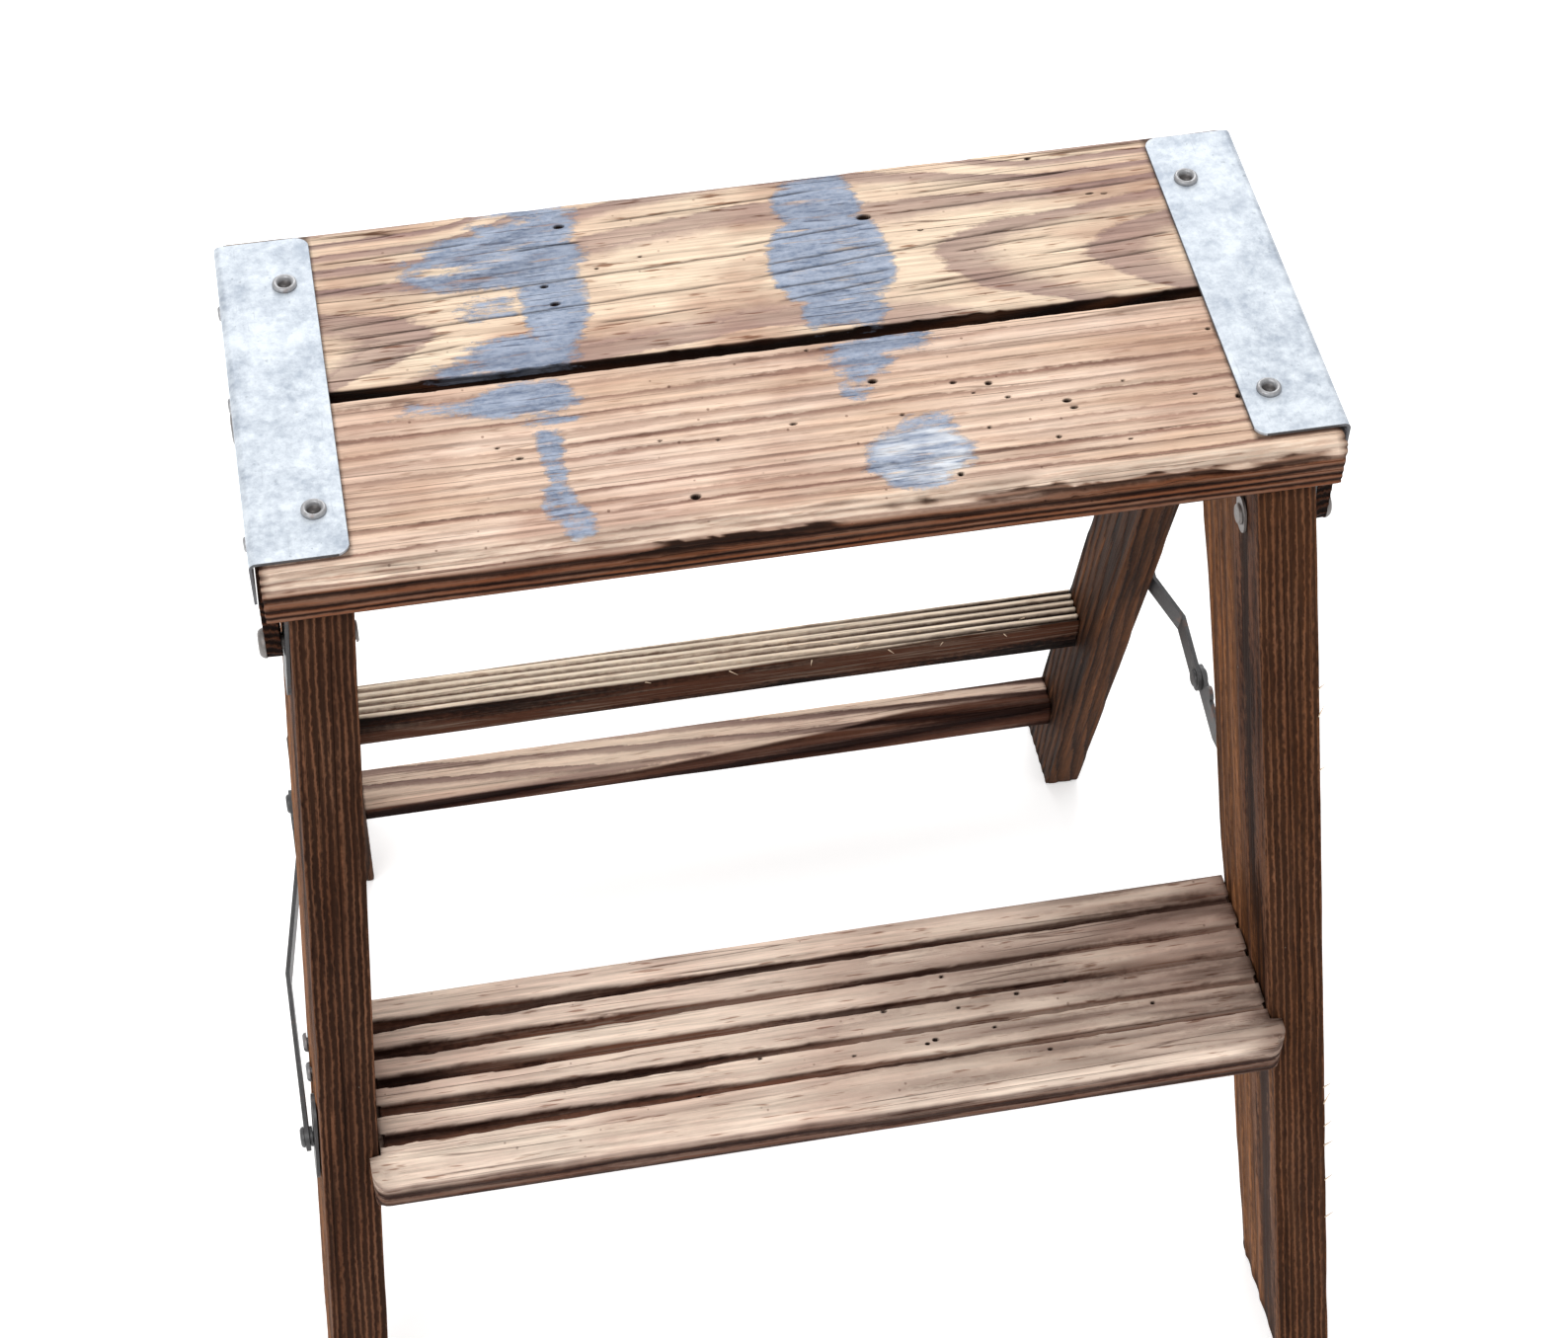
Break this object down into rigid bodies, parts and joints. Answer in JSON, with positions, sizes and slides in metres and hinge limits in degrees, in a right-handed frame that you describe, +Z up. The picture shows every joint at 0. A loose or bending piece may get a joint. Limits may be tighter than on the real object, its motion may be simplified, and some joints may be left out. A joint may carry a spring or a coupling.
{
  "type": "folding step stool",
  "caption": "Weathered wooden folding step stool: capped plank top on splayed legs, a grooved tread, and a hinged rear frame held open by jointed steel spreaders.",
  "frame": {"origin": "on the floor, centred between the feet of the open stool", "axes": "+X to the user's right, +Y towards the rear frame, +Z up"},
  "size_m": [0.4902, 0.422, 0.5262],
  "materials": {
    "top_pine": "weathered, worn bare, with old paint patches",
    "galvanised_sheet": "galvanised, mottled and scratched",
    "rivet_steel": "dull plated",
    "dark_pine": "dark weathered, ridged grain",
    "tread_pine": "worn pale, matt",
    "rear_pine": "brown weathered, matt",
    "spreader_steel": "grey, dull",
    "screw_steel": "dull, darkened"
  },
  "bodies": {
    "front_frame": {"bracket_left": "spreader_steel", "bracket_right": "spreader_steel", "cap_left": "galvanised_sheet", "cap_nails": "rivet_steel", "cap_right": "galvanised_sheet", "cap_rivets": "rivet_steel", "cleat_left": "dark_pine", "cleat_right": "dark_pine", "cleat_screws": "screw_steel", "front_leg_left": "dark_pine", "front_leg_right": "dark_pine", "front_link_pivots": "spreader_steel", "leg_plate_left": "spreader_steel", "leg_plate_right": "spreader_steel", "leg_rivets": "rivet_steel", "leg_washer_left": "rivet_steel", "leg_washer_right": "rivet_steel", "pivot_bolts": "screw_steel", "pivot_nuts": "screw_steel", "pivot_spacers": "screw_steel", "pivot_washers": "screw_steel", "top_board_front": "top_pine", "top_board_rear": "top_pine", "tread": "tread_pine", "tread_screws": "screw_steel"},
    "rear_frame": {"rear_leg_left": "rear_pine", "rear_leg_right": "rear_pine", "upper_rail": "rear_pine", "lower_rail": "rear_pine", "rail_screws": "screw_steel", "rear_link_pivots": "spreader_steel"},
    "rear_link_left": {"rear_link_left": "spreader_steel", "elbow_tail_left": "spreader_steel"},
    "rear_link_right": {"rear_link_right": "spreader_steel", "elbow_tail_right": "spreader_steel"},
    "front_link_left": {"front_link_left": "spreader_steel", "elbow_head_left": "spreader_steel"},
    "front_link_right": {"front_link_right": "spreader_steel", "elbow_head_right": "spreader_steel"}
  },
  "joints": [
    {"name": "rear_fold", "type": "hinge", "parent": "front_frame", "child": "rear_frame", "pos_m": [0, 0.06048, 0.471], "axis": [-1, 0, 0], "range_deg": [0, 34.5]},
    {"name": "rear_link_left_turn", "type": "hinge", "parent": "rear_frame", "child": "rear_link_left", "pos_m": [-0.211, 0.12157, 0.24304], "axis": [-1, 0, 0], "range_deg": [0, 74]},
    {"name": "front_link_left_turn", "type": "hinge", "parent": "front_frame", "child": "front_link_left", "pos_m": [-0.23374, -0.1162, 0.195], "axis": [1, 0, 0], "range_deg": [0, 39]},
    {"name": "rear_link_right_turn", "type": "hinge", "parent": "rear_frame", "child": "rear_link_right", "pos_m": [0.211, 0.12157, 0.24304], "axis": [-1, 0, 0], "range_deg": [0, 74]},
    {"name": "front_link_right_turn", "type": "hinge", "parent": "front_frame", "child": "front_link_right", "pos_m": [0.23374, -0.1162, 0.195], "axis": [1, 0, 0], "range_deg": [0, 39]}
  ],
  "couplings": [
    {"joint": "rear_link_left_turn", "follows": "rear_fold", "ratio": 2.14},
    {"joint": "front_link_left_turn", "follows": "rear_fold", "ratio": 1.1241},
    {"joint": "rear_link_right_turn", "follows": "rear_fold", "ratio": 2.14},
    {"joint": "front_link_right_turn", "follows": "rear_fold", "ratio": 1.1241}
  ]
}
